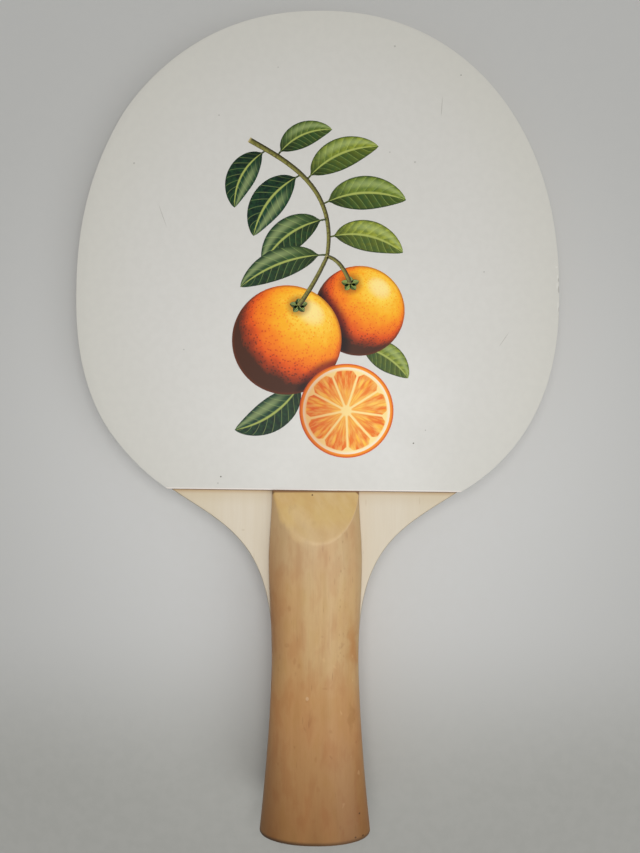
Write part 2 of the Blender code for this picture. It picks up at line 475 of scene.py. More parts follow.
crossband_material = ply_wood("crossband_wood", ink(190, 160, 118), ink(150, 114, 74), 1.6 * MM, True)
for node, side, inner, outer in both_faces("_crossband"):
    mesh = flat_ply_mesh(node + "_wood", inner, outer, side)
    glue_in(mesh, crossband_material, node)

# Face veneers
# The outer plies, 0.6 mm of pale close-grained wood, which show on the shoulders. Their edges are
# sanded round there and round the head, and left square where the handle scales sit flush.

EDGE_ROUND = 0.5 * MM
EDGE_FADE = 12.0 * MM
EDGE_POINTS = 8
VENEER_COLUMNS = 33
VENEER_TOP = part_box("front_face_veneer")[1].z
NARROW_STAIN = 1.7 * MM
BROAD_STAIN = 3.5 * NARROW_STAIN
CUT_Y = FACING_Y - 0.15 * MM
CUT_SKEW = -0.0088


def axes_of(vector):
    """The three parts of a vector."""
    return add("ShaderNodeSeparateXYZ", {0: vector}).outputs


def spot_mask():
    """Group: 1 inside an ellipsoid round a centre, with radii by axis, and a soft rim outside."""
    group, given, result = new_group(
        "spot_mask",
        {"Vector": (0.0, 0.0, 0.0), "Centre": (0.0, 0.0, 0.0), "Radii": (MM, MM, MM), "Softness": 0.5},
        ("Mask",))
    away = vector_maths("SUBTRACT", given["Vector"], given["Centre"])
    distance = length_of(vector_maths("DIVIDE", away, given["Radii"]))
    feed(result, "Mask", fade(distance, 1.0, plus(1.0, given["Softness"]), 1.0, 0.0))
    return group


SPOT_MASK = spot_mask()


def spot(place, centre, radii, softness=0.5):
    """The mask of one spot, its centre and radii in millimetres on the object."""
    inputs = {"Vector": place, "Centre": [MM * part for part in centre],
              "Radii": [MM * part for part in radii], "Softness": softness}
    return add("ShaderNodeGroup", inputs, node_tree=SPOT_MASK).outputs["Mask"]


def cut_line(x):
    """How far up the racket the facing's skewed cut lies at x."""
    return maths("MULTIPLY_ADD", x, CUT_SKEW, CUT_Y)


def veneer_wood():
    """Pale veneer with straight faint grain, darker below the facing and dark at its edge.

    Below the facing's cut it holds a glue stain and the painted shadow of the sheet's edge.
    """
    material, shader, place = shader_of("veneer_wood", 0.6)
    rings, fibres, pores, clouds = figure_in(place, (0.012, 0.0, -0.028), 2.6 * MM, 2.5 * MM, 0.08)
    x, y, z = axes_of(place)
    under_cut = minus(cut_line(x), y)
    covered = fade(under_cut, -1.2 * MM, -0.6 * MM)
    sanded = times(fade(maths("ABSOLUTE", z), VENEER_TOP - 0.22 * MM, VENEER_TOP - 0.05 * MM, 0.65, 0.0),
                   fade(y, NECK_Y, NECK_Y + EDGE_FADE), fade(under_cut, -0.6 * MM, 0.0))
    dent = spot(place, (-22.5, 91.0, 3.0), (0.3, 0.2, 1.0), 1.2)
    wood = layered(
        ink(218, 207, 187),
        (times(rings, 0.1), ink(206, 190, 161)),
        (fade(fibres, 0.38, 0.6, 0.1, 0.0), ink(200, 182, 150)),
        (fade(clouds, 0.4, 0.7, 0.0, 0.2), ink(210, 196, 168)),
        (times(pores, 0.3), ink(160, 128, 88)),
        (fade(maths("ABSOLUTE", x), 22 * MM, 38 * MM, 0.0, 0.4), ink(205, 190, 158)),
        # below the facing's cut: glue stain and painted shadow of the sheet's edge, darkest in a thin line
        (times(covered, fade(under_cut, 0.0, BROAD_STAIN, 0.3, 0.0)), ink(194, 170, 128)),
        (times(covered, fade(under_cut, 0.1 * NARROW_STAIN, NARROW_STAIN, 0.65, 0.0)), ink(180, 144, 98)),
        (times(covered, fade(under_cut, 0.18 * MM, 0.42 * MM, 0.85, 0.0)), ink(86, 60, 42)),
        (sanded, ink(132, 108, 78)),
        (times(dent, 0.7), ink(204, 191, 166)),
        (fade(y, 0.04 * MM, 0.3 * MM, 0.8, 0.0), ink(168, 140, 102)))
    feed(shader, "Base Color", wood)
    feed(shader, "Normal", bumped(fibres, 0.35, 0.05 * MM))
    return material


def veneer_mesh(name, low, high, side):
    """A ply whose outer edge is a quarter circle, which fades out towards the neck."""
    right = blade_side()
    share = ease((right[:, 1] - NECK_Y) / EDGE_FADE)[:, None]
    turn = np.linspace(math.pi / 2, 0.0, EDGE_POINTS)[None]
    inset = EDGE_ROUND * (1.0 - np.cos(turn)) * share
    height = high - EDGE_ROUND * (1.0 - np.sin(turn)) + 0.0 * share
    inset = np.concatenate((inset, 0.0 * share), axis=1)
    height = side * np.concatenate((height, low + 0.0 * share), axis=1)
    return skin(name, plate_rings(right, right * (-1, 1), inset, height, VENEER_COLUMNS))


veneer_material = veneer_wood()
for node, side, inner, outer in both_faces("_face_veneer"):
    mesh = veneer_mesh(node + "_wood", inner, outer, side)
    glue_in(mesh, veneer_material, node)

# Handle scales
# Two shaped grips of a light hardwood, glued to the tang and sanded flush with it. The crown is
# oval and flares to the butt, and a thumb bevel eases the top down to the facing. Hands have
# polished and browned the wood. Its colour is also painted darker towards the butt and on the left
# side as painted shade, and paler in a streak right of the crown and on the bevel's right rim as
# painted highlight.

GLUED_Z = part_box("front_handle_scale")[0].z
BUTT_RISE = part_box("front_handle_scale")[1].z - GLUED_Z
WAIST_RISE = 8.5 * MM
SWELL_RISE = 8.9 * MM
END_RISE = 8.7 * MM
SIDE_WALL = 1.0 * MM
CROWN_FULLNESS = 2.1
END_FULLNESS = 1.8
END_ROUNDING = 32 * MM
BEVEL_SLOPE = math.tan(math.radians(24))
BEVEL_END_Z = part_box("front_facing_sheet")[1].z + 0.2 * MM
BEVEL_TILT = 0.045
BEVEL_EASE = 0.22 * MM
BEVEL_WEAR = 0.7 * MM
BEVEL_WEAR_WIDTH = 12 * MM
BEVEL_WEAR_OFFSET = 0.2
JOINT_EASE = 0.12 * MM
END_EASE = 0.08 * MM
END_GAP = 0.04 * MM
END_SHEAR = 4 * MM
HAND_SANDING = 0.035 * MM
RIPPLE_SWING = 1.9
GRIP_HALF_WIDTH = 14.5 * MM
BUTT_STEPS = 9
BODY_ROWS = 150
CLOSE_ROWS = 90
CLOSE_ROWS_LENGTH = 17 * MM
END_POINTS = 5
CROWN_COLUMNS = 141
GLUED_COLUMNS = 25


def crown_rise(y):
    """Height of the crown above the glued face at y."""
    return along_handle(y, BUTT_RISE, WAIST_RISE, SWELL_RISE, END_RISE)


def hand_ripple(y, turn):
    """Slow waves along and round the crown: three sines of its place and its turn, added up."""
    return (np.sin(y * 210 + np.cos(turn) * 2.1) + np.sin(y * 470 + turn * 3.0) * 0.5
            + np.sin(turn * 9.0 + y * 60) * 0.4)


def scale_rings(side):
    """Sections of a scale along y, each a closed ring.

    Across a half turn the section is a superellipse on two short upright walls, its lower corners
    broken, and it grows rounder towards the head. Its height is the soft minimum of that and the
    bevel's sloping plane, which is a little higher on the left and more worn there, less slow
    ripples from sanding by hand. Both ends are drawn in by a quarter circle, and the upper one is
    sheared to lie along the facing's skewed cut. The rows lie closer along the bevel.
    """
    butt_y, butt_inset = butt_rows(BUTT_STEPS)
    quarter = np.linspace(0.0, math.pi / 2, END_POINTS)
    close_y = HANDLE_LENGTH - CLOSE_ROWS_LENGTH
    body_y = np.linspace(BUTT_ROUND, close_y, BODY_ROWS)
    slope_y = np.linspace(close_y, HANDLE_LENGTH - END_EASE, CLOSE_ROWS)[1:]
    end_y = HANDLE_LENGTH - END_EASE * (1.0 - np.sin(quarter[1:]))
    y = np.concatenate((butt_y, body_y, slope_y, end_y))[:, None]
    inset = np.zeros_like(y)
    inset[:len(butt_y), 0] = butt_inset
    end_drop = np.zeros_like(y)
    end_drop[-len(end_y):, 0] = END_EASE * (1.0 - np.cos(quarter[1:]))

    turn = np.linspace(0.0, math.pi, CROWN_COLUMNS)[None]
    half_width = handle_half_width(y) - inset
    crown = crown_rise(y) - inset - SIDE_WALL
    to_end = ease((y - HANDLE_LENGTH) / END_ROUNDING + 1.0)
    fullness = CROWN_FULLNESS + (END_FULLNESS - CROWN_FULLNESS) * to_end
    x = half_width * np.sign(np.cos(turn)) * np.abs(np.cos(turn)) ** (2 / fullness)
    rise = SIDE_WALL + crown * np.sin(turn).clip(0.0) ** (2 / fullness)
    rise = rise - HAND_SANDING * (hand_ripple(y, turn) + RIPPLE_SWING) * np.sin(turn).clip(0.0)
    plane = BEVEL_END_Z - GLUED_Z + (HANDLE_LENGTH - y) * BEVEL_SLOPE - x * BEVEL_TILT
    plane = plane - end_drop
    rounding = BEVEL_EASE + BEVEL_WEAR * ease(BEVEL_WEAR_OFFSET - x / BEVEL_WEAR_WIDTH)
    gap = np.clip(rounding - np.abs(rise - plane), 0.0, None)
    rise = np.minimum(rise, plane) - gap ** 2 / (4 * rounding)

    corner_in = JOINT_EASE * (1.0 - np.sin(quarter)) + 0.0 * y
    corner_up = JOINT_EASE * (1.0 - np.cos(quarter)) + 0.0 * y
    share = np.linspace(-1.0, 1.0, GLUED_COLUMNS)[None, 1:-1]
    glued_x = share * (half_width - JOINT_EASE)
    left_x = -(half_width - corner_in)[:, ::-1]
    ring_x = np.concatenate((half_width - corner_in, x, left_x, glued_x), axis=1)
    ring_z = np.concatenate((corner_up, rise, corner_up[:, ::-1], 0.0 * glued_x), axis=1)
    to_cut = CUT_Y + CUT_SKEW * ring_x - END_GAP - HANDLE_LENGTH
    ring_y = y + to_cut * np.clip((y - HANDLE_LENGTH) / END_SHEAR + 1.0, 0.0, 1.0)
    return np.stack((ring_x, ring_y, side * (GLUED_Z + ring_z)), axis=-1)


def spots(place, marks, depth, softness=0.5):
    """The union of many spots, each (x, y, z, radius across, radius along), as deep as given."""
    union = 0.0
    for x, y, z, across, along in marks:
        union = maths("MAXIMUM", union, spot(place, (x, y, z), (across, along, depth), softness))
    return union


def ramp(amount, *stops):
    """A colour that passes through stops, each a position and a colour."""
    made = add("ShaderNodeValToRGB", {0: amount})
    elements = made.color_ramp.elements
    for element, (position, colour) in zip(elements, (stops[0], stops[-1])):
        element.position = position
        element.color = colour
    for position, colour in stops[1:-1]:
        elements.new(position).color = colour
    return made.outputs[0]


def browned_and_shaded_wood(length):
    """The wood from the butt, browned by the palm and in painted shade, to its pale end at the facing."""
    return ramp(
        length,
        (0.0, ink(146, 105, 60)), (0.06, ink(156, 112, 67)), (0.19, ink(171, 128, 81)),
        (0.3, ink(181, 136, 88)), (0.41, ink(189, 146, 95)), (0.49, ink(198, 163, 113)),
        (0.56, ink(201, 167, 118)), (0.7, ink(204, 171, 122)), (0.8, ink(202, 172, 128)))


def with_bands(wood, place, across, length):
    """Bands that wander along the grip: reddened on the left, then a pale one, then a pitted one.

    The reddened band is partly painted shade, and the pale one is a painted highlight.
    """
    drifted = plus(across, times(noise(squeezed(place, 1, 0.2, 1), 60.0, 1.0), 4 * MM))
    # partly painted shade: the left of the grip darker and redder
    reddened = times(fade(drifted, -2.6 * MM, 0.0, 1.0, 0.0), fade(length, 0.62, 0.85, 0.65, 0.25),
                     fade(length, 0.2, 0.6))
    # painted highlight: a pale streak right of the crown's middle
    pale = times(band(drifted, 5.4 * MM, 7.0 * MM, 7.4 * MM, 9.4 * MM),
                 fade(length, 0.1, 0.5, 0.0, 0.22))
    pits = fade(cells(squeezed(place, 1, 0.6, 1), 900.0)["Distance"], 0.12, 0.35, 0.3, 0.0)
    pitted = times(band(drifted, 9.0 * MM, 10.0 * MM, 11.5 * MM, 12.5 * MM), fade(length, 0.3, 0.5),
                   pits, fade(noise(place, 330.0), 0.42, 0.6))
    return layered(wood, (reddened, ink(240, 224, 211), "MULTIPLY"), (pale, ink(222, 192, 148)),
                   (pitted, ink(150, 112, 62)))


def with_figure(wood, place, figure, dark_fibres):
    """The figure of the wood, and grime rubbed unevenly into it."""
    grime = noise(squeezed(place, 1, 0.35, 1), 260.0, 3.0, 0.55)
    return layered(
        wood,
        (times(figure["Rings"], 0.1), ink(158, 108, 62)),
        (dark_fibres, ink(134, 92, 54)),
        (fade(figure["Clouds"], 0.42, 0.66, 0.0, 0.25), ink(190, 136, 82)),
        (fade(grime, 0.46, 0.66, 0.0, 0.5), ink(240, 222, 212), "MULTIPLY"),
        (fade(grime, 0.32, 0.48, 0.5, 0.0), ink(248, 246, 230), "MULTIPLY"),
        (times(figure["Pores"], 0.25), ink(120, 80, 46)))


def with_worn_and_shaded_sides(wood, across, length):
    """Sides darkened by the fingers: greyer and redder on the left, yellower on the right.

    The darker left is partly painted shade, and the paler rim at the far left near the head is
    painted light.
    """
    share = maths("DIVIDE", across, GRIP_HALF_WIDTH)
    left = fade(share, -1.0, -0.45, 1.0, 0.0)
    right = fade(share, 0.5, 1.0)
    red_edge = times(fade(across, -14.4 * MM, -11.6 * MM, 1.0, 0.0),
                     band(length, 0.68, 0.76, 0.84, 0.9, 0.3))
    painted_light_edge = times(fade(across, -14.4 * MM, -9 * MM, 1.0, 0.0), fade(length, 0.82, 0.92, 0.0, 0.4))
    return layered(
        wood,
        # partly painted shade: the left side greyer, redder and darker
        (times(left, fade(length, 0.12, 0.42, 1.0, 0.3)), ink(223, 219, 218), "MULTIPLY"),
        (times(left, band(length, 0.42, 0.56, 0.6, 0.9, 0.6)), ink(212, 186, 174), "MULTIPLY"),
        (red_edge, ink(206, 146, 88)),
        # painted light: a paler rim at the far left near the head
        (painted_light_edge, ink(232, 196, 146)),
        (times(fade(share, 0.75, 1.0), fade(length, 0.3, 0.45, 0.0, 0.4)), ink(196, 174, 134)),
        (times(right, fade(length, 0.35, 0.05, 0.0, 0.3)), ink(252, 244, 212), "MULTIPLY"),
        (times(right, fade(length, 0.1, 0.35, 0.45, 0.0)), ink(226, 216, 208), "MULTIPLY"))


def with_stains(wood, stained):
    """Ragged stains on the right of the waist."""
    patch = maths("MAXIMUM", spot(stained, (11.4, 57.5, 9.6), (0.2, 0.9, 4.0), 11.0),
                  spot(stained, (12.4, 54.5, 9.6), (0.15, 0.5, 4.0), 11.0))
    halo = spot(stained, (11.6, 56.5, 9.6), (1.2, 3.0, 4.0), 1.8)
    bruise = spot(stained, (11.2, 36.0, 9.6), (0.4, 2.4, 4.0), 1.6)
    return layered(wood, (times(halo, 0.3), ink(176, 128, 72)), (times(patch, 0.55), ink(178, 118, 62)),
                   (times(bruise, 0.32), ink(146, 100, 48)))


def with_bevel(wood, place, across, along, height, dark_fibres):
    """Fresh yellow wood where the bevel's plane cuts the crown; its right rim has a painted highlight.

    The line between brown and yellow is ragged, and wide on the worn left. The wood is painted dark
    where it meets the facing, deepest at the corners, as shade of the gap under the sheet's edge.
    """
    past_end = minus(along, HANDLE_LENGTH)
    over_end = minus(maths("ABSOLUTE", height), BEVEL_END_Z)
    over_plane = maths("MULTIPLY_ADD", past_end, BEVEL_SLOPE, over_end)
    over_plane = maths("MULTIPLY_ADD", across, BEVEL_TILT, over_plane)
    worn = fade(across, -8 * MM, 6 * MM, 1.0, 0.0)
    uneven = times(minus(noise(squeezed(place, 1, 0.6, 0.6), 480.0, 3.0), 0.5), times(worn, 2.4 * MM))
    rim_start = maths("MULTIPLY_ADD", worn, -0.9 * MM, -0.22 * MM)
    on_bevel = fade(plus(over_plane, uneven), rim_start, -0.08 * MM)

    slanted = squeezed(turned_by(place, -38), 1, 0.3, 0.3)
    ragged_end = maths("MULTIPLY_ADD", noise(slanted, 240.0), 9 * MM, past_end)
    cleaned = fade(ragged_end, -7.5 * MM, -3 * MM, 0.5, 0.9)
    fresh = layered(
        ink(207, 171, 110),
        (fade(noise(squeezed(place, 1, 0.5, 1), 260.0), 0.4, 0.65), ink(211, 179, 117)),
        (fade(noise(slanted, 260.0, 3.0, 0.55), 0.42, 0.66, 0.0, 0.6), ink(217, 189, 140)),
        (times(dark_fibres, 0.5), ink(160, 118, 66)),
        (fade(past_end, -14 * MM, -7 * MM, 0.45, 0.0), ink(226, 198, 152)))

    rim = band(over_plane, -0.5 * MM, -0.25 * MM, -0.2 * MM, -0.05 * MM)
    corner = fade(maths("ABSOLUTE", across), 12.2 * MM, 13.6 * MM, 0.0, 0.8 * MM)
    return layered(
        wood,
        (times(on_bevel, cleaned), fresh),
        # painted highlight on the bevel's right rim
        (times(rim, fade(across, 0.0, 6.0 * MM, 0.0, 0.35)), ink(226, 200, 156)),
        # painted shade of the gap under the sheet's edge, wider at the corners
        (fade(plus(past_end, corner), -0.75 * MM, -0.1 * MM, 0.0, 0.9), ink(122, 82, 52)))


DARK_SPECKS = (
    (-0.9, 102.1, 5.7, 0.2, 0.22), (13.4, 8.1, 8.6, 0.2, 0.22), (14.4, 1.5, 7.6, 0.28, 0.25),
    (12.2, 1.7, 9.2, 0.25, 0.22),
)
FAINT_MARKS = (
    (-7.6, 68.7, 10.6, 0.3, 0.5), (-8.2, 57.7, 10.5, 0.5, 0.35), (-6.1, 53.3, 11.1, 0.25, 0.6),
    (-4.7, 52.0, 11.3, 0.3, 0.4), (-2.2, 41.7, 11.6, 0.2, 0.3), (-1.3, 36.6, 11.7, 0.22, 1.4),
    (3.1, 45.4, 11.7, 0.5, 0.22), (4.9, 33.0, 11.7, 0.3, 0.3), (-0.1, 7.5, 12.2, 0.3, 0.35),
    (0.6, 25.2, 12.0, 0.25, 0.5), (1.2, 16.6, 12.1, 0.3, 0.5),
    (8.6, 4.0, 11.2, 0.25, 0.5), (2.4, 86.6, 11.9, 0.15, 0.5), (6.0, 77.0, 11.5, 0.12, 0.6),
)


def with_marks(wood, place, shake, stained, flecks, length):
    """Small marks of use: faint rubbed ones, dark specks, one pale dent, pale and dark nicks."""
    rubbed_in = vector_maths("MULTIPLY_ADD", shake, (1.2 * MM, 1.2 * MM, 0.0), place)
    dent = spot(place, (-2.1, 42.6, 11.6), (0.3, 0.4, 1.0), 0.9)
    nicks = cells(squeezed(stained, 1, 0.55, 1), 380.0)
    nick = times(fade(nicks["Distance"], 0.06, 0.24, 1.0, 0.0), fade(length, 0.45, 0.7, 1.0, 0.2))
    pick = number_of(nicks)
    return layered(
        wood,
        (times(spots(rubbed_in, FAINT_MARKS, 1.2, 1.4), 0.2), ink(146, 92, 50)),
        (times(flecks, 0.8), ink(72, 40, 18)),
        (times(dent, 0.45), ink(216, 184, 146)),
        (times(nick, maths("LESS_THAN", pick, 0.28), 0.28), ink(222, 184, 134)),
        (times(nick, maths("GREATER_THAN", pick, 0.74), 0.3), ink(138, 88, 50)))


def with_sawn_butt(wood, across, along, figure):
    """A dark rim round the butt in painted shade, darker on the left, and browner end grain on its face.
    """
    # painted shade on the butt's rounded corner, heavier on the left
    rim = times(fade(along, 0.7 * MM, 1.7 * MM, 0.85, 0.0), fade(across, -12 * MM, 10 * MM, 1.0, 0.7))
    sawn = layered(
        ink(172, 128, 82),
        (times(figure["Rings"], 0.45), ink(132, 88, 50)),
        (fade(figure["Fibres"], 0.36, 0.6, 0.4, 0.0), ink(110, 72, 42)),
        (fade(figure["Clouds"], 0.42, 0.66, 0.0, 0.4), ink(148, 104, 66)),
        (times(figure["Pores"], 0.5), ink(84, 54, 32)))
    return layered(wood, (rim, ink(58, 42, 28)), (fade(along, 0.04 * MM, 0.3 * MM, 1.0, 0.0), sawn))


def handle_wood():
    """Light hardwood, browned and polished by the hand, freshly yellow on the thumb bevel.

    Its colour also holds painted shade towards the butt, on the left and at the facing, and painted
    highlights on the right.
    """
    material, shader, place = shader_of("handle_wood")
    shader.inputs["Specular IOR Level"].default_value = 0.3
    across, along, height = axes_of(place)
    length = maths("DIVIDE", along, HANDLE_LENGTH)
    figure = figure_in(place, (0.024, 0.0, -0.02), 4.3 * MM, 5 * MM, 0.16)
    dark_fibres = fade(figure["Fibres"], 0.36, 0.56, 0.08, 0.0)
    shake = drift(place, 260.0, 3.0)
    stained = vector_maths("MULTIPLY_ADD", shake, (4 * MM, 5 * MM, 0.0), place)
    flecks = spots(place, DARK_SPECKS, 1.2)
    wood = with_bands(browned_and_shaded_wood(length), place, across, length)
    wood = with_figure(wood, place, figure, dark_fibres)
    wood = with_stains(with_worn_and_shaded_sides(wood, across, length), stained)
    wood = with_bevel(wood, place, across, along, height, dark_fibres)
    wood = with_marks(wood, place, shake, stained, flecks, length)
    feed(shader, "Base Color", with_sawn_butt(wood, across, along, figure))
    feed(shader, "Roughness", fade(figure["Clouds"], 0.3, 0.7, 0.4, 0.52))
    relief = minus(figure["Fibres"], plus(figure["Pores"], flecks))
    feed(shader, "Normal", bumped(relief, 0.3, 0.05 * MM))
    return material


handle_material = handle_wood()
for node, side, inner, outer in both_faces("_handle_scale"):
    glue_in(skin(node + "_wood", scale_rings(side)), handle_material, node)

# Foam pads
# A 1.5 mm pad of fine closed-cell foam under each sheet, cut to the outline of the head in one
# pass with it. Only its cut edge shows, with the cells open.

FACING_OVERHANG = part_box("front_foam")[1].x - HEAD_HALF_WIDTH
LOWER_FACING_ROWS = 110
UPPER_FACING_ROWS = 170
PAD_POINTS = 7
PAD_COLUMNS = 25
PAD_INSET = 0.08 * MM
PAD_HOLLOW = 0.07 * MM
KNIFE_WAVES = ((0.3 * MM, 224.0 * MM, 9.0 * MM), (-0.36 * MM, 114.0 * MM, 8.0 * MM))


def facing_side(hand, cut_rows):
    """One side of a facing as it was trimmed by hand, from its straight cut to the tip.

    It starts where the slightly skewed cut meets the outline. The head's outline is grown by the
    overhang and moved along its normal by two smooth bumps on the left, where the knife ran wide
    above and close below: each has a reach, a middle and a spread.
    """
    corner = head_side(turn_at(FACING_Y, FACING_OVERHANG), FACING_OVERHANG) * (hand, 1)
    start = turn_at(CUT_Y + CUT_SKEW * corner[0] + cut_rows, FACING_OVERHANG)
    lower = np.linspace(start[-1], 0.0, LOWER_FACING_ROWS)[1:]
    upper = np.linspace(0.0, math.pi / 2, UPPER_FACING_ROWS)[1:]
    side = head_side(np.concatenate((start, lower, upper)), FACING_OVERHANG) * (hand, 1)
    if hand < 0:
        y = side[:, 1]
        bumps = [reach * np.exp(-((y - middle) / spread) ** 2) for reach, middle, spread in KNIFE_WAVES]
        side = side + outward(side, hand) * sum(bumps)[:, None]
    return side


def facing_rings(cut_rows, inset, height, columns):
    """Rings of a facing, whose first rows lie along its straight cut, so far from it as given."""
    right = facing_side(1, cut_rows)
    left = facing_side(-1, cut_rows)
    rings = plate_rings(right, left, inset, height, columns)
    first = rings[:len(cut_rows)]
    first[..., 1] = CUT_Y + CUT_SKEW * first[..., 0] + cut_rows[:, None]
    return rings


def foam_edge():
    """Cut edge of a pale closed-cell foam: fine open cells of two sizes."""
    material, shader, place = shader_of("foam", 0.9)
    large = fade(cells(place, 5200.0)["Distance"], 0.1, 0.6)
    small = fade(cells(place, 11000.0)["Distance"], 0.1, 0.6)
    open_cells = plus(large, times(small, 0.5))
    colour = layered(
        ink(176, 170, 154), (fade(open_cells, 0.2, 1.2), ink(222, 218, 206)),
        (fade(noise(place, 160.0), 0.45, 0.7, 0.0, 0.4), ink(208, 198, 170)))
    feed(shader, "Base Color", colour)
    feed(shader, "Normal", bumped(open_cells, 0.8, 0.08 * MM))
    return material


def pad_rings(low, high, side):
    """A pad whose cut edge draws in a little at half its height."""
    share = np.linspace(0.0, 1.0, PAD_POINTS)
    inset = PAD_INSET + PAD_HOLLOW * np.sin(share * math.pi)
    height = side * (high + (low - high) * share)
    return facing_rings(np.zeros(1), inset, height, PAD_COLUMNS)


foam_material = foam_edge()
for node, side, inner, outer in both_faces("_foam"):
    glue_in(skin(node + "_pad", pad_rings(inner, outer, side)), foam_material, node)

# Facing sheets
# A smooth off-white plastic sheet, 0.4 mm thick, bonded to each foam pad. Its edges are cut with
# a blade, and fine dust and a few hairs lie on it. It has yellowed a little at the rim, and is
# painted greyer there as painted shade.

SHEET_EASE = 0.1 * MM
SHEET_POINTS = 5
SHEET_COLUMNS = 41


def sheet_rings(low, high, side):
    """A thin sheet, its outer corner a quarter circle along the sides and the straight cut."""
    turn = np.linspace(math.pi / 2, 0.0, SHEET_POINTS)
    inset = np.append(SHEET_EASE * (1.0 - np.cos(turn)), 0.0)
    height = np.append(high - SHEET_EASE * (1.0 - np.sin(turn)), low)
    cut_rows = SHEET_EASE * (1.0 - np.cos(turn[::-1]))
    ceiling = high - SHEET_EASE * (1.0 - np.sin(turn[::-1]))
    rings = facing_rings(cut_rows, inset, height, SHEET_COLUMNS)
    rings[:len(ceiling), :, 2] = np.minimum(rings[:len(ceiling), :, 2], ceiling[:, None])
    rings[..., 2] *= side
    return rings


FAINT_DUST = (
    (24.6, 242.3, 5, 0.22, 0.22), (30.8, 205.5, 5, 0.2, 0.2), (23.0, 208.7, 5, 0.15, 0.15),
    (-37.3, 250.4, 5, 0.25, 0.2), (-23.1, 252.9, 5, 0.2, 0.2), (-57.2, 205.8, 5, 0.2, 0.22),
    (-30.5, 220.9, 5, 0.17, 0.17), (-41.0, 147.0, 5, 0.15, 0.15), (52.0, 171.0, 5, 0.15, 0.18),
    (-12.0, 236.0, 5, 0.14, 0.14), (33.8, 122.0, 5, 0.15, 0.15), (-30.1, 105.6, 5, 0.16, 0.16),
)
DARK_DUST = (
    (45.2, 232.9, 5, 0.13, 0.13), (30.1, 118.0, 5, 0.17, 0.17), (-29.2, 107.6, 5, 0.17, 0.17),
)
PALE_CHIPS = (
    (74.3, 172.4, 5, 0.25, 0.12), (74.5, 169.4, 5, 0.12, 0.4), (74.4, 166.6, 5, 0.12, 0.6),
    (74.6, 160.2, 5, 0.1, 0.9),
)
# Dark spots beside the pale chips: painted shade in the chips.
CHIP_SHADES = (
    (74.9, 168.4, 5, 0.15, 0.4), (74.9, 165.4, 5, 0.2, 0.7), (74.9, 159.2, 5, 0.15, 0.6),
)

# Each hair has its middle, half its length and half its width in millimetres, and its turn.
HAIRS = (
    ((39.2, 223.0, 5), 2.1, 0.06, 4.0), ((-48.0, 189.0, 5), 2.6, 0.05, -20.0),
    ((58.0, 150.0, 5), 1.8, 0.05, 35.0),
)


def sheet_plastic():
    """Smooth off-white sheet: faint mottling, a yellowed rim, a pale cut edge, dust, chips, hairs.

    The rim is also greyer in painted shade, the pale cut edge is a painted highlight, and the dark
    spots by the chips are painted shade.
    """
    material, shader, place = shader_of("facing_sheet")
    x, y = axes_of(place)[:2]
    x_share = maths("DIVIDE", x, HEAD_HALF_WIDTH)
    y_share = maths("DIVIDE", minus(y, WIDEST_Y), TIP_Y - WIDEST_Y)
    rim = plus(times(x_share, x_share), times(y_share, y_share))
    broad = noise(place, 28.0)
    mottle = noise(place, 420.0, 3.0)
    dust = maths("MAXIMUM", times(spots(place, FAINT_DUST, 1.0, 0.8), 0.35),
                 spots(place, DARK_DUST, 1.0, 0.6))
    colour = layered(
        ink(211, 209, 203),
        # painted shade towards the rim, with a little yellowing
        (fade(rim, 0.35, 1.05), ink(207, 205, 196)),
        (fade(broad, 0.35, 0.7, 0.0, 0.3), ink(205, 203, 195)),
        (fade(mottle, 0.35, 0.65, 0.0, 0.14), ink(196, 194, 187)),
        # painted highlight along the straight cut
        (fade(minus(y, cut_line(x)), 0.25 * MM, 0.6 * MM, 0.8, 0.0), ink(232, 224, 216)),
        (dust, ink(92, 84, 74)),
        (times(spots(place, PALE_CHIPS, 1.0, 1.2), 0.32), ink(232, 230, 225)),
        # painted shade in the chips
        (times(spots(place, CHIP_SHADES, 1.0, 1.0), 0.45), ink(132, 129, 122)))
    for centre, reach, width, angle in HAIRS:
        from_middle = vector_maths("SUBTRACT", place, [MM * part for part in centre])
        hair = spot(turned_by(from_middle, angle), (0.0, 0.0, 0.0), (width, reach, 1.0), 0.8)
        colour = tint(times(hair, 0.5), colour, ink(120, 112, 100))
    feed(shader, "Base Color", colour)
    feed(shader, "Roughness", fade(broad, 0.3, 0.7, 0.38, 0.48))
    feed(shader, "Normal", bumped(mottle, 0.12, 0.02 * MM))
    return material


sheet_material = sheet_plastic()
for node, side, inner, outer in both_faces("_facing_sheet"):
    glue_in(skin(node + "_skin", sheet_rings(inner, outer, side)), sheet_material, node)

# Print
# A sprig with two oranges and a cut slice, printed on the front sheet in semi-gloss ink. Each
# motif is a film of its own, and a motif in front lies over those behind it by a hair of ink.

SHEET_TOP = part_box("front_facing_sheet")[1].z
INK_STEP = 0.01 * MM
FILM_ROWS = 41
FILM_COLUMNS = 9
DISC_ROWS = 65
DISC_COLUMNS = 25
STALK_SHARE = 0.09
STALK_HALF = 0.28
SEPAL_REACH = 2.9
SEPAL_HALF_WIDTH = 0.85
SEPAL_SQUASH = 0.8
SEGMENTS = 9
LIGHT_FROM = (0.46, 0.52, 0.72)
TWIG = ((-21, 213), (-9, 206), (7, 198), (3.5, 176))
LARGE_ORANGE = ((-9.0, 150.0), 17.0)
SMALL_ORANGE = ((13.5, 159.0), 14.0)
SLICE = ((9.5, 128.0), 14.5)
LARGE_CALYX = (-5.3, 160.6)
SMALL_CALYX = (10.7, 167.4)

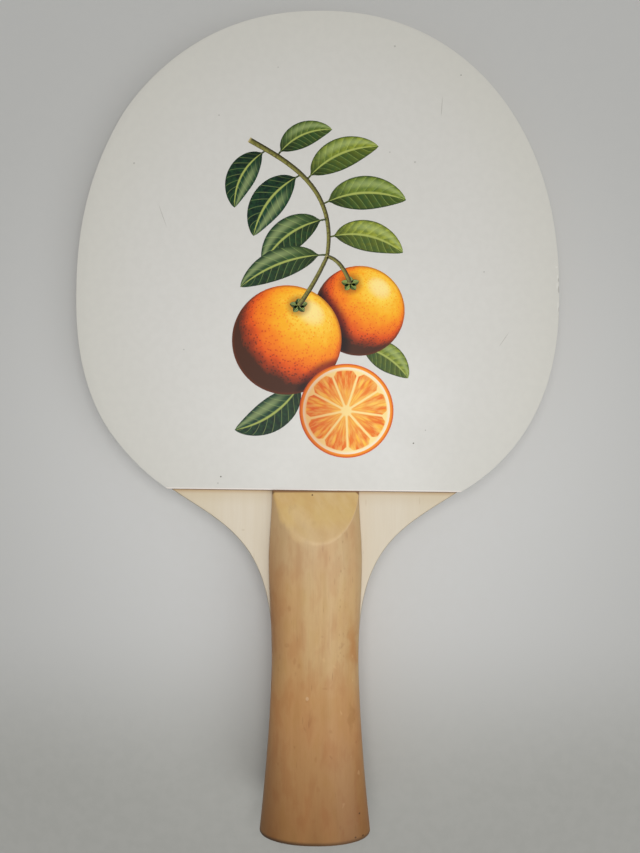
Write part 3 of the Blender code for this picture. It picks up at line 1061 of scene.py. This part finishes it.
# The print is laid out in millimetres on the sheet. Each leaf has its base, its tip, how far it
# bulges to its left, half its width, how yellow it is from 0 to 1, and its layer.
LEAVES = (
    ((-15.4, 209.7), (-25.5, 191.5), -3.0, 4.4, 0.10, 1),
    ((-12.0, 208.0), (5.0, 216.0), 2.5, 3.9, 0.55, 1),
    ((-4.6, 201.8), (-19.5, 182.5), -3.0, 5.2, 0.00, 2),
    ((-2.9, 200.1), (19.5, 210.5), 3.0, 4.8, 0.75, 2),
    ((2.0, 192.4), (28.0, 193.5), 3.0, 5.2, 0.45, 1),
    ((3.3, 187.7), (-16.5, 173.5), -3.0, 5.0, 0.20, 4),
    ((3.8, 182.0), (27.0, 177.0), 3.0, 4.7, 0.90, 2),
    ((3.0, 176.5), (-23.5, 166.5), -2.5, 4.6, 0.30, 7),
    ((-4.0, 137.5), (-25.0, 122.0), 3.0, 5.0, 0.05, 1),
    ((13.0, 148.0), (28.5, 138.0), 2.0, 4.2, 0.60, 1),
)


def ink_film(path, half_width, layer, along, spread, tone, columns=FILM_COLUMNS):
    """A strip of ink along a path, as rings that cross it above and come back below.

    Each point's mark is how far along it lies, how far across from the left, and the motif's tone.
    """
    across = np.linspace(-1.0, 1.0, columns)
    reach = half_width[:, None] * across
    plan = path[:, None] + right_of(path)[:, None] * reach[..., None]
    plan = np.concatenate((plan, plan[:, ::-1]), axis=1) * MM
    level = np.where(np.arange(plan.shape[1]) < len(across), layer * INK_STEP, -INK_STEP)
    rings = np.dstack((plan, np.broadcast_to(SHEET_TOP + level, plan.shape[:2])))
    crosswise = 0.5 + 0.5 * spread[:, None] * np.concatenate((across, across[::-1]))
    lengthwise = np.broadcast_to(along[:, None], crosswise.shape)
    return rings, np.dstack((lengthwise, crosswise, np.full_like(crosswise, tone)))


def leaf_film(base, tip, bulge, half_width, tone, layer):
    """A leaf on an arched midrib: half its width is u^0.7·(1−u)^0.8 on a short stalk.

    It is marked so that the half that the light falls on is always the far one.
    """
    base, tip = np.array(base), np.array(tip)
    heading = (tip - base) / np.linalg.norm(tip - base)
    right = np.array((heading[1], -heading[0]))
    share = np.linspace(0.0, 1.0, FILM_ROWS)
    path = bezier((base, (base + tip) / 2 - 2 * bulge * right, tip), share)
    blade = np.clip((share - STALK_SHARE) / (1.0 - STALK_SHARE), 0.0, 1.0)
    swell = blade ** 0.7 * (1.0 - blade) ** 0.8
    outline = STALK_HALF * (1.0 - share) + half_width * swell / swell.max()
    lit = np.sign(np.dot(right, LIGHT_FROM[:2]))
    return ink_film(path, outline, layer, share, np.full_like(share, lit), tone)


def stem_film(points, half_widths, layer):
    """A twig or a stem along a Bezier curve, its half width going evenly from first to last."""
    share = np.linspace(0.0, 1.0, FILM_ROWS)
    outline = half_widths[0] + (half_widths[1] - half_widths[0]) * share
    path = bezier([np.array(point, dtype=float) for point in points], share)
    return ink_film(path, outline, layer, share, np.ones_like(share), 0.0)


def disc_film(centre, radius, layer, tone):
    """A round motif: rows at heights −cos of a half turn, as wide as its sine."""
    turn = np.linspace(0.0, math.pi, DISC_ROWS)
    height = -np.cos(turn)
    path = np.column_stack((np.full_like(turn, centre[0]), centre[1] + radius * height))
    along = 0.5 + 0.5 * height
    return ink_film(path, radius * np.sin(turn), layer, along, np.sin(turn), tone, DISC_COLUMNS)


def calyx_films(centre, layer):
    """Five sepals round the end of a stem, a little shorter up and down than across."""
    base = np.array(centre)
    films = []
    for turn in np.radians(range(20, 360, 72)):
        tip = base + np.array((math.cos(turn), SEPAL_SQUASH * math.sin(turn))) * SEPAL_REACH
        films.append(leaf_film(base, tip, 0.0, SEPAL_HALF_WIDTH, 0.5, layer))
    return films


def print_on(name, films, material):
    """Lays a set of ink films on the front sheet as one piece."""
    rings, marks = zip(*films)
    piece = new_object(skin(name, *rings, marks=marks), material)
    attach(piece, "root")


def printed_ink(name):
    """A new ink material, its shader, its coordinates and the three marks on its film."""
    material, shader, place = shader_of(name, 0.45)
    shader.inputs["Specular IOR Level"].default_value = 0.2
    film = material.node_tree.nodes.new("ShaderNodeAttribute")
    film.attribute_name = "film"
    return material, shader, place, axes_of(film.outputs["Vector"])


def printed_leaf():
    """Leaf green from blue to yellow: two unlike halves, pale midrib, slanting veins, dark rim."""
    material, shader, place, marks = printed_ink("printed_leaf")
    along, across, tone = marks
    from_rib = times(2.0, maths("ABSOLUTE", minus(across, 0.5)))
    rightness = fade(axes_of(place)["X"], -20 * MM, 24 * MM)
    phase = maths("FRACT", times(minus(along, times(from_rib, 0.15)), 10.0))
    green = layered(
        ink(12, 58, 48),
        (rightness, ink(66, 112, 40)),
        (times(tone, plus(0.25, rightness)), ink(168, 176, 60)),
        (fade(across, 0.44, 0.56, 0.75, 0.0), ink(96, 118, 116), "MULTIPLY"),
        (fade(phase, 0.1, 0.95, 0.5, 0.0), ink(140, 150, 140), "MULTIPLY"),
        (band(phase, 0.84, 0.94, 0.94, 1.0, 0.45), ink(168, 186, 104)),
        (fade(noise(place, 900.0, 3.0, 0.6), 0.35, 0.7, 0.0, 0.5), ink(40, 84, 44)),
        (times(band(across, 0.6, 0.76, 0.78, 0.96, 0.4), fade(along, 0.15, 0.5)), ink(184, 200, 132)),
        (fade(along, 0.0, 0.4, 0.7, 0.0), ink(60, 76, 66), "MULTIPLY"),
        (fade(from_rib, 0.86, 1.0, 0.0, 0.75), ink(20, 40, 24)),
        (fade(from_rib, 0.03, 0.1, 0.85, 0.0), ink(176, 186, 96)))
    feed(shader, "Base Color", green)
    return material


def printed_stem():
    """Olive-brown bark, shaded as a round stem that is lit from the right."""
    material, shader, place, marks = printed_ink("printed_stem")
    along, across = marks[:2]
    bark = layered(
        ink(44, 40, 22),
        (fade(across, 0.0, 0.75), ink(136, 132, 66)),
        (fade(across, 0.8, 1.0, 0.0, 0.7), ink(66, 58, 30)),
        (fade(noise(place, 1400.0), 0.45, 0.7, 0.0, 0.6), ink(58, 46, 24)),
        (fade(along, 0.0, 0.02, 1.0, 0.0), ink(190, 174, 120)))
    feed(shader, "Base Color", bark)
    return material


def vector_of(x, y, z):
    """A vector from its three parts."""
    return add("ShaderNodeCombineXYZ", {0: x, 1: y, 2: z}).outputs[0]


def round_marks(marks):
    """A disc's own coordinates, from −1 to 1 to the right and up, and their distance from 0."""
    along, across = marks[:2]
    disc = vector_maths("MULTIPLY_ADD", vector_of(across, along, 0.5), (2.0, 2.0, 2.0), (-1.0, -1.0, -1.0))
    return disc, length_of(disc)


def shadow_on(place, centre, radius, towards, softness):
    """The soft shadow of a round motif, cast a little to one side of it."""
    x, y = centre[0] + towards[0], centre[1] + towards[1]
    return spot(place, (x, y, SHEET_TOP / MM), (radius, radius, radius), softness)


def printed_peel():
    """Orange peel painted as a ball lit from the right: pores, glow, red shade and calyx dimple."""
    material, shader, place, marks = printed_ink("printed_peel")
    tone = marks["Z"]
    disc, radius = round_marks(marks)
    x, y = axes_of(disc)[:2]
    ball = vector_of(x, y, maths("SQRT", maths("MAXIMUM", 0.0, minus(1.0, times(radius, radius)))))
    shifted = vector_maths("ADD", ball, tone)
    towards_light = add("ShaderNodeVectorMath", {0: ball, 1: LIGHT_FROM}, operation="DOT_PRODUCT")
    facing = towards_light.outputs["Value"]
    pits = fade(cells(shifted, 17.0)["Distance"], 0.08, 0.42, 1.0, 0.0)
    light = plus(facing, times(minus(noise(shifted, 4.0, 3.0, 0.6), 0.5), 0.3))
    peel = ramp(
        minus(light, times(pits, 0.2)),
        (0.02, ink(70, 34, 14)), (0.2, ink(150, 50, 12)), (0.38, ink(226, 84, 8)),
        (0.6, ink(248, 132, 10)), (0.82, ink(252, 178, 24)), (1.0, ink(255, 214, 72)))
    specks = fade(cells(ball, 26.0)["Distance"], 0.06, 0.14, 1.0, 0.0)
    behind = shadow_on(place, *LARGE_ORANGE, (0.6, -0.4), 0.2)
    under = shadow_on(place, *SLICE, (-0.8, 0.5), 0.16)
    dimples = [(times(spot(place, (*calyx, SHEET_TOP / MM), (2.2, 2.0, 2.0), 1.1), 0.6),
                ink(140, 84, 40), "MULTIPLY") for calyx in (LARGE_CALYX, SMALL_CALYX)]
    peel = layered(
        peel,
        (fade(facing, 0.94, 1.0, 0.0, 0.55), ink(255, 240, 176)),
        (times(specks, fade(facing, 0.7, 0.98), 0.6), ink(255, 246, 206)),
        (times(behind, tone), ink(112, 56, 40), "MULTIPLY"),
        (times(under, 0.8), ink(120, 60, 40), "MULTIPLY"),
        *dimples,
        (fade(radius, 0.94, 1.0, 0.0, 0.5), ink(110, 46, 14)))
    feed(shader, "Base Color", peel)
    return material


def printed_slice():
    """Cut face of an orange: peel, pale pith, nine segments between walls, drawn-out pulp cells."""
    material, shader, _, marks = printed_ink("printed_slice")
    disc, radius = round_marks(marks)
    x, y = axes_of(disc)[:2]
    angle = maths("ARCTAN2", y, x)
    phase = maths("FRACT", maths("MULTIPLY_ADD", angle, SEGMENTS / (2 * math.pi), 0.2 + SEGMENTS))
    nearer = maths("MINIMUM", phase, minus(1.0, phase))
    from_wall = times(nearer, radius, 2 * math.pi / SEGMENTS)
    corner = fade(from_wall, 0.0, 0.14, 0.09, 0.0)
    to_pith = minus(minus(0.87, corner), radius)
    pulp = times(fade(from_wall, 0.012, 0.034), fade(to_pith, 0.0, 0.025), fade(radius, 0.09, 0.14))
    ray_x, ray_y = axes_of(vector_maths("NORMALIZE", disc))[:2]
    drawn = vector_of(ray_x, ray_y, times(radius, 0.36))
    flesh = layered(
        ink(255, 190, 60),
        (fade(cells(drawn, 9.0)["Distance"], 0.15, 0.6), ink(238, 110, 10)),
        (fade(noise(drawn, 11.0, 3.0, 0.6), 0.4, 0.68, 0.0, 0.55), ink(255, 214, 112)),
        (fade(radius, 0.1, 0.8, 0.45, 0.0), ink(255, 206, 92)))
    rind = tint(fade(radius, 0.94, 1.0), ink(252, 150, 16), ink(214, 86, 8))
    face = layered(
        ink(255, 226, 150),
        (fade(radius, 0.84, 0.93), ink(250, 240, 212)),
        (pulp, flesh),
        (fade(radius, 0.915, 0.935), rind),
        (fade(x, -1.0, 0.3, 0.55, 0.0), ink(196, 120, 70), "MULTIPLY"))
    feed(shader, "Base Color", face)
    return material


leaf_films = [leaf_film(*leaf) for leaf in LEAVES]
leaf_films += calyx_films(LARGE_CALYX, 6) + calyx_films(SMALL_CALYX, 6)
print_on("printed_leaves", leaf_films, printed_leaf())
print_on("printed_oranges", [disc_film(*LARGE_ORANGE, 5, 0.0), disc_film(*SMALL_ORANGE, 4, 1.0)],
         printed_peel())
print_on("printed_twig", [
    stem_film(TWIG, (0.85, 0.6), 3), stem_film((TWIG[-1], (0.0, 168.0), LARGE_CALYX), (0.6, 0.75), 8),
    stem_film((TWIG[-1], (8.0, 175.0), SMALL_CALYX), (0.55, 0.7), 8)], printed_stem())
print_on("printed_slice", [disc_film(*SLICE, 8, 0.0)], printed_slice())

# Floor, light and camera
# The racket lies on its back, on the swell of the back scale and the tip of the head, so the
# floor slopes a little in its frame. The light is an even pale sky, a soft lamp close overhead,
# and a faint broad light from the lower right.

RESTING_TIP = (TIP_Y + FACING_OVERHANG - SHEET_EASE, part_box("back_facing_sheet")[0].z)
FLOOR_REACH = 3.0
FLOOR_MIDDLE = (0.0, 0.11, 0.0)
SKY_SHARE = 0.32
OVERHEAD_SHARE = 0.53
OVERHEAD_AT = (0.015, 0.13, 0.30)
OVERHEAD_SIZE = 0.18
SIDE_SHARE = 0.15
SIDE_TOWARDS = (0.75, -0.45, 0.90)
SIDE_SPREAD = math.radians(42)
LIT_AT = (0.0, 0.125, 0.0)
BACKDROP = ink(196, 196, 193)


def floor_material():
    """A pale table top: paler under the racket's middle as painted light, darker by the butt as shade.

    Further off its paint grows paler as the lamp fades, and what the camera sees of it passes into
    the plain backdrop. From below it is clear, so that the back of the racket can be seen.
    """
    material, shader, place = shader_of("floor_paint", 0.6)
    distance = length_of(vector_maths("SUBTRACT", place, FLOOR_MIDDLE))
    # painted shade by the butt
    shade_near_butt = times(fade(axes_of(place)["Y"], 0.0, 0.06, 1.0, 0.0), fade(distance, 0.16, 0.26, 1.0, 0.0))
    tone = layered(
        ink(211, 211, 209),
        # painted light: paler under the middle of the racket, darker further out
        (fade(distance, 0.02, 0.16), ink(190, 190, 187)),
        (shade_near_butt, ink(230, 230, 226), "MULTIPLY"),
        (fade(distance, 0.12, 0.45), ink(236, 236, 233)),
        (fade(noise(place, 300.0), 0.3, 0.7, 0.0, 0.1), ink(200, 199, 194)))
    feed(shader, "Base Color", tone)
    nodes = material.node_tree.nodes
    backdrop = nodes.new("ShaderNodeEmission")
    backdrop.inputs["Color"].default_value = BACKDROP
    seen = nodes.new("ShaderNodeLightPath").outputs["Is Camera Ray"]
    far_off = {0: times(seen, fade(distance, 0.3, 0.8)), 1: shader.outputs[0], 2: backdrop.outputs[0]}
    above = add("ShaderNodeMixShader", far_off).outputs[0]
    clear = nodes.new("ShaderNodeBsdfTransparent").outputs[0]
    behind = nodes.new("ShaderNodeNewGeometry").outputs["Backfacing"]
    both = add("ShaderNodeMixShader", {0: behind, 1: above, 2: clear}).outputs[0]
    feed(nodes["Material Output"], "Surface", both)
    return material


def floor_mesh(resting):
    """A large plane under the tip of the head, as steep as it can be below all resting points."""
    tip_y, tip_z = RESTING_TIP
    slope = np.max((tip_z - resting[..., 2]) / (tip_y - resting[..., 1]))
    corners = []
    for x, y in ((-1, -1), (1, -1), (1, 1), (-1, 1)):
        corners.append((x * FLOOR_REACH, y * FLOOR_REACH, tip_z - (tip_y - y * FLOOR_REACH) * slope))
    mesh = bpy.data.meshes.new("floor")
    mesh.from_pydata(corners, [], [(0, 1, 2, 3)])
    return mesh


floor = new_object(floor_mesh(scale_rings(-1)), floor_material())

world = bpy.data.worlds.new("pale_sky")
bpy.context.scene.world = world
world.use_nodes = True
sky = world.node_tree.nodes
seen = sky.new("ShaderNodeLightPath").outputs["Is Camera Ray"]
sky_light = (SKY_SHARE, SKY_SHARE, SKY_SHARE, 1.0)
background = sky["Background"]
background.inputs["Strength"].default_value = 1.0
feed(background, "Color", tint(seen, sky_light, BACKDROP))


def aim(data, place, towards):
    """Puts a lamp at a place and turns it so that it shines back along a unit vector."""
    lamp = bpy.data.objects.new(data.name, data)
    bpy.context.scene.collection.objects.link(lamp)
    lamp.location = place
    lamp.rotation_euler = (math.acos(towards[2]), 0.0, math.atan2(towards[1], towards[0]) + math.pi / 2)
    lamp.visible_camera = False


def overhead_lamp():
    """A round lamp aimed at the racket, which gives its share of the light on a level surface.

    A diffuse disc of power P lights a level surface straight below it by P / (π·distance²), and
    less by the cosine of its tilt. A share of 1 is π, at which a colour renders as written.
    """
    towards = np.array(OVERHEAD_AT) - LIT_AT
    distance = np.linalg.norm(towards)
    towards = towards / distance
    data = bpy.data.lights.new("overhead_lamp", "AREA")
    data.shape = "DISK"
    data.size = OVERHEAD_SIZE
    data.energy = OVERHEAD_SHARE * math.pi ** 2 * distance ** 2 / towards[2]
    aim(data, OVERHEAD_AT, towards)


def side_light():
    """A broad light from far off, which gives its share of π on a level surface everywhere."""
    towards = np.array(SIDE_TOWARDS) / np.linalg.norm(SIDE_TOWARDS)
    data = bpy.data.lights.new("side_light", "SUN")
    data.angle = SIDE_SPREAD
    data.energy = SIDE_SHARE * math.pi / towards[2]
    aim(data, LIT_AT, towards)


overhead_lamp()
side_light()

camera_data = bpy.data.cameras.new("camera")
camera_data.lens = 27.0
camera_data.sensor_fit = "VERTICAL"
camera_data.sensor_height = 36.0
camera_data.clip_start = 0.005
camera = bpy.data.objects.new("camera", camera_data)
bpy.context.scene.collection.objects.link(camera)
camera.location = (5.44 * MM, 117.29 * MM, 202.19 * MM)
camera.rotation_euler = (0.0296, 0.0205, 0.0019)
bpy.context.scene.camera = camera
bpy.context.scene.view_settings.view_transform = "Standard"
